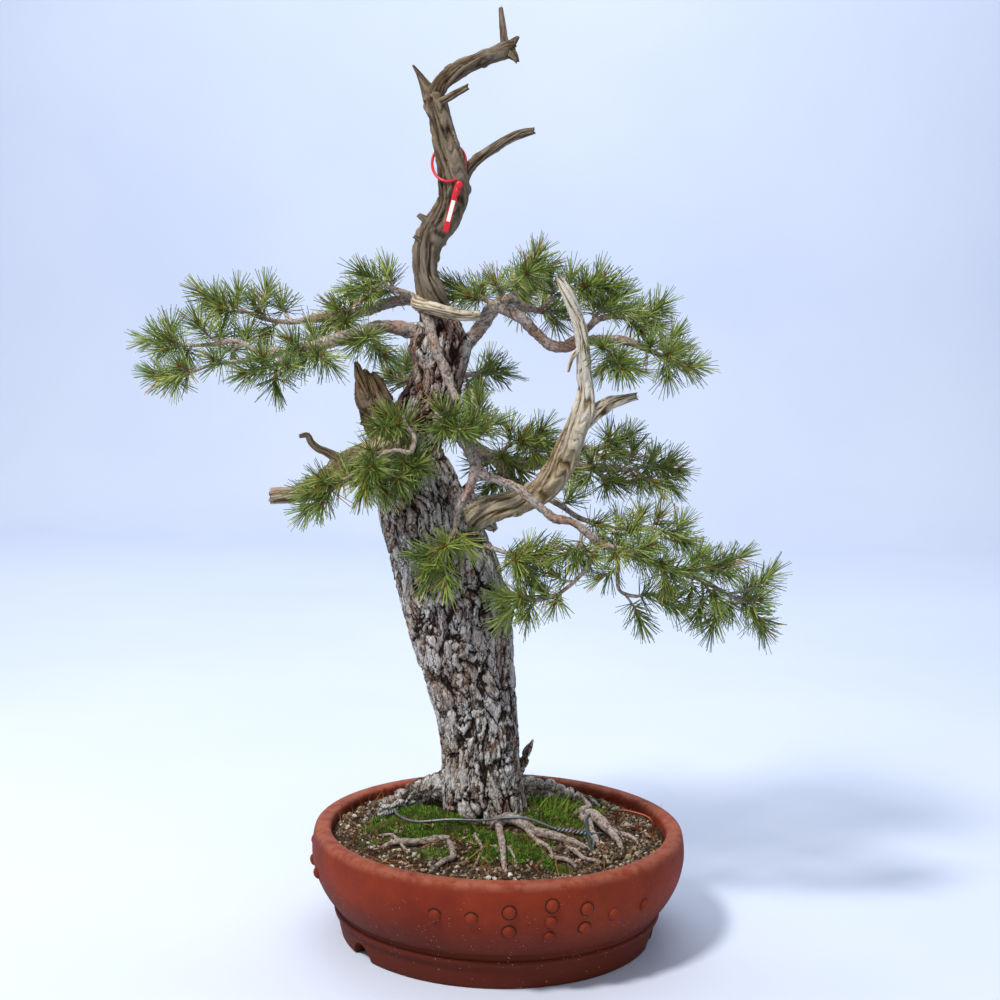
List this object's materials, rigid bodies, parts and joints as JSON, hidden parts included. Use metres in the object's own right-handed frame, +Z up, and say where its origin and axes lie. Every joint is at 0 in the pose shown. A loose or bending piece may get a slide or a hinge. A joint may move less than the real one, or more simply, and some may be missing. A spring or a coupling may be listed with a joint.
{
  "type": "scots pine bonsai",
  "caption": "Old pine bonsai with bleached deadwood, plated bark and needle pads on side branches, in a shallow round clay pot of soil.",
  "frame": {"origin": "under the middle of the whole plant's box, on the plane that the pot stands on", "axes": "+Z up, along the height; +X to the right and -Y toward the viewer of the tree front"},
  "size_m": [0.833, 0.4734, 1.1474],
  "materials": {
    "clay": "unglazed red-brown fired clay, slightly dusty",
    "soil": "gravelly potting soil, mossy",
    "bark": "rough plated pine bark, grey over red-brown",
    "bare_wood": "weathered, bleached bare wood",
    "torn_wood": "torn brown heartwood, weathered",
    "needles": "needles, soft sheen",
    "tag": "glossy red plastic",
    "label": "bare white label",
    "aluminium_wire": "dull grey wire",
    "green_wire": "dark green coated wire",
    "copper_wire": "dull copper wire",
    "drain_mesh": "dark plastic mesh"
  },
  "bodies": {
    "root": {"trunk": "bark", "deadwood_top": "bare_wood", "deadwood_arm": "bare_wood", "deadwood_left_limb": "bare_wood", "deadwood_split_stub": "torn_wood", "deadwood_strap": "bare_wood", "spray_left_end": "needles", "spray_left_low_end": "needles", "spray_left_lower": "needles", "spray_left_upper_end": "needles", "spray_left_inner_low": "needles", "spray_left_inner_up": "needles", "spray_left_neck": "needles", "spray_left_top": "needles", "spray_crown_inner": "needles", "spray_crown_top": "needles", "spray_crown_back": "needles", "spray_crown_right": "needles", "spray_right_mid_up": "needles", "spray_right_far_up": "needles", "spray_right_end": "needles", "spray_right_mid_low": "needles", "spray_back_upper": "needles", "spray_back_left": "needles", "spray_left_front": "needles", "spray_low_left": "needles", "spray_front_knuckle": "needles", "spray_front_mid_left": "needles", "spray_front_mid_right": "needles", "spray_middle_back": "needles", "spray_trunk_front": "needles", "spray_back_right_up": "needles", "spray_back_right_end": "needles", "spray_back_mid": "needles", "spray_back_inner": "needles", "spray_right_low": "needles", "spray_low_right_inner": "needles", "spray_low_right_mid": "needles", "spray_low_right_hook": "needles", "spray_low_right_far": "needles", "spray_low_right_top": "needles", "spray_low_right_end": "needles", "spray_front_low": "needles", "spray_front_low_right": "needles", "spray_back_high": "needles", "spray_back_deep": "needles", "spray_back_crown": "needles", "pot": "clay", "drain_mesh_1": "drain_mesh", "drain_mesh_2": "drain_mesh", "drain_mesh_3": "drain_mesh", "tie_wire": "aluminium_wire", "green_wire": "green_wire", "copper_wire": "copper_wire", "soil": "soil", "plant_tag": "tag", "tag_label": "label"}
  },
  "joints": []
}
